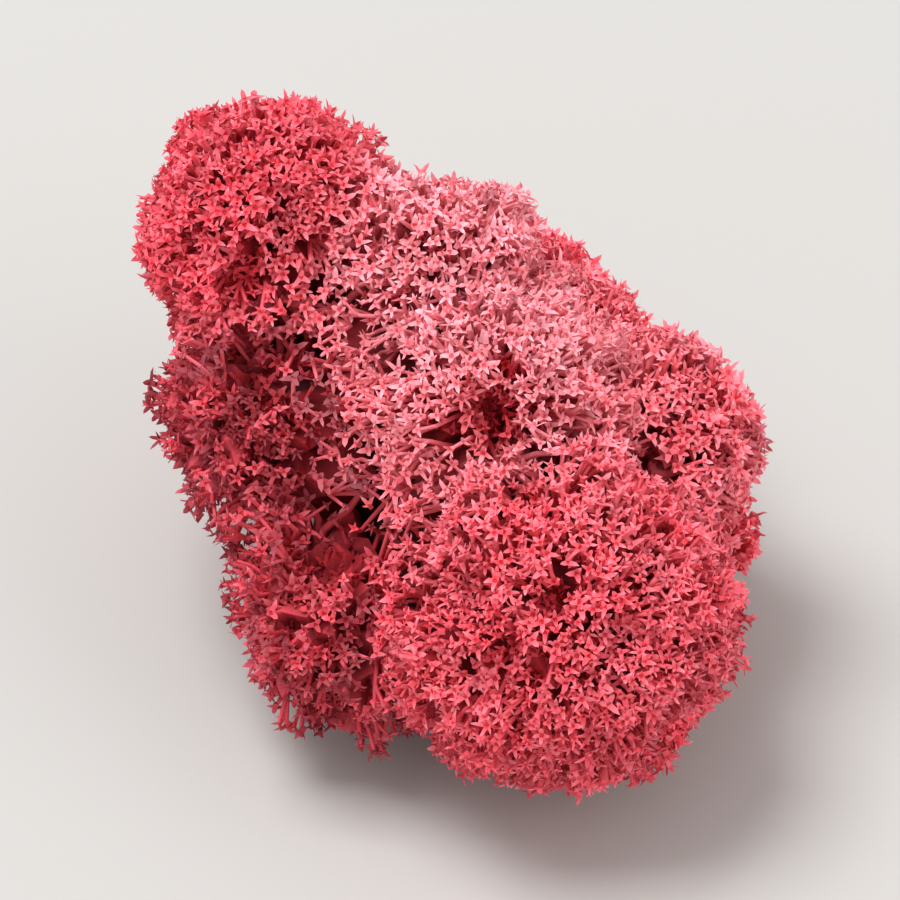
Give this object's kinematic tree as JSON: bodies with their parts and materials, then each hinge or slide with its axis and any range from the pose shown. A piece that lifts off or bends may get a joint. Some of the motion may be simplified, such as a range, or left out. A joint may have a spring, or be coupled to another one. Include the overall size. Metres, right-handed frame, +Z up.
{
  "type": "reindeer moss clump",
  "caption": "Dyed reindeer moss clump: rounded heads of finely forked, star-tipped lichen round a tangle of old bare stems, resting on a small flat spot.",
  "frame": {"origin": "on the surface that the clump rests on, under the middle of its bounding box", "axes": "+Z up, +Y to the rear as seen in the picture, +X to the right"},
  "size_m": [0.0422, 0.047, 0.0355],
  "materials": {
    "dyed_crimson": "matt, dyed crimson, slightly paler at the tips",
    "dyed_rose": "matt, the same dye taken up more weakly",
    "bare_stem": "matt, dull red brown"
  },
  "bodies": {
    "root": {"stem_base": "bare_stem", "round_head": "dyed_crimson", "crown_head": "dyed_crimson", "shoulder_head": "dyed_rose", "ridge_head": "dyed_rose", "right_head": "dyed_crimson", "left_spray": "dyed_crimson", "low_left_spray": "dyed_crimson", "rear_left_head": "dyed_crimson", "rear_right_head": "dyed_crimson", "low_right_head": "dyed_crimson"}
  },
  "joints": []
}
